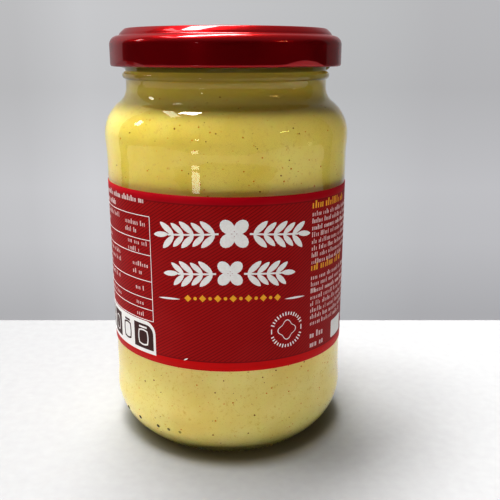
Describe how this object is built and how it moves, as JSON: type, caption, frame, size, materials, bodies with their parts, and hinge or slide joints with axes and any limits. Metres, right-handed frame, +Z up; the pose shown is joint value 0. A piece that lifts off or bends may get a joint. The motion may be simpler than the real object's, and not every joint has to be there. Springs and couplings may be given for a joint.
{
  "type": "mustard jar",
  "caption": "Round glass jar of smooth mustard, shut with a red twist-off lid and wrapped in a red paper label.",
  "frame": {"origin": "centre of the base, on the plane that the jar stands on", "axes": "+Z up along the jar's axis, and -Y out through the middle of the label's front"},
  "size_m": [0.0746, 0.0746, 0.1253],
  "materials": {
    "glass": "clear and smooth, with a faint green edge",
    "mustard": "pale yellow smooth paste with fine brown specks",
    "lid_paint": "glossy red lacquer on pressed sheet",
    "label_paper": "satin printed paper, red with pale shapes"
  },
  "bodies": {
    "root": {"jar": "glass", "mustard": "mustard", "lid": "lid_paint", "label": "label_paper"}
  },
  "joints": []
}
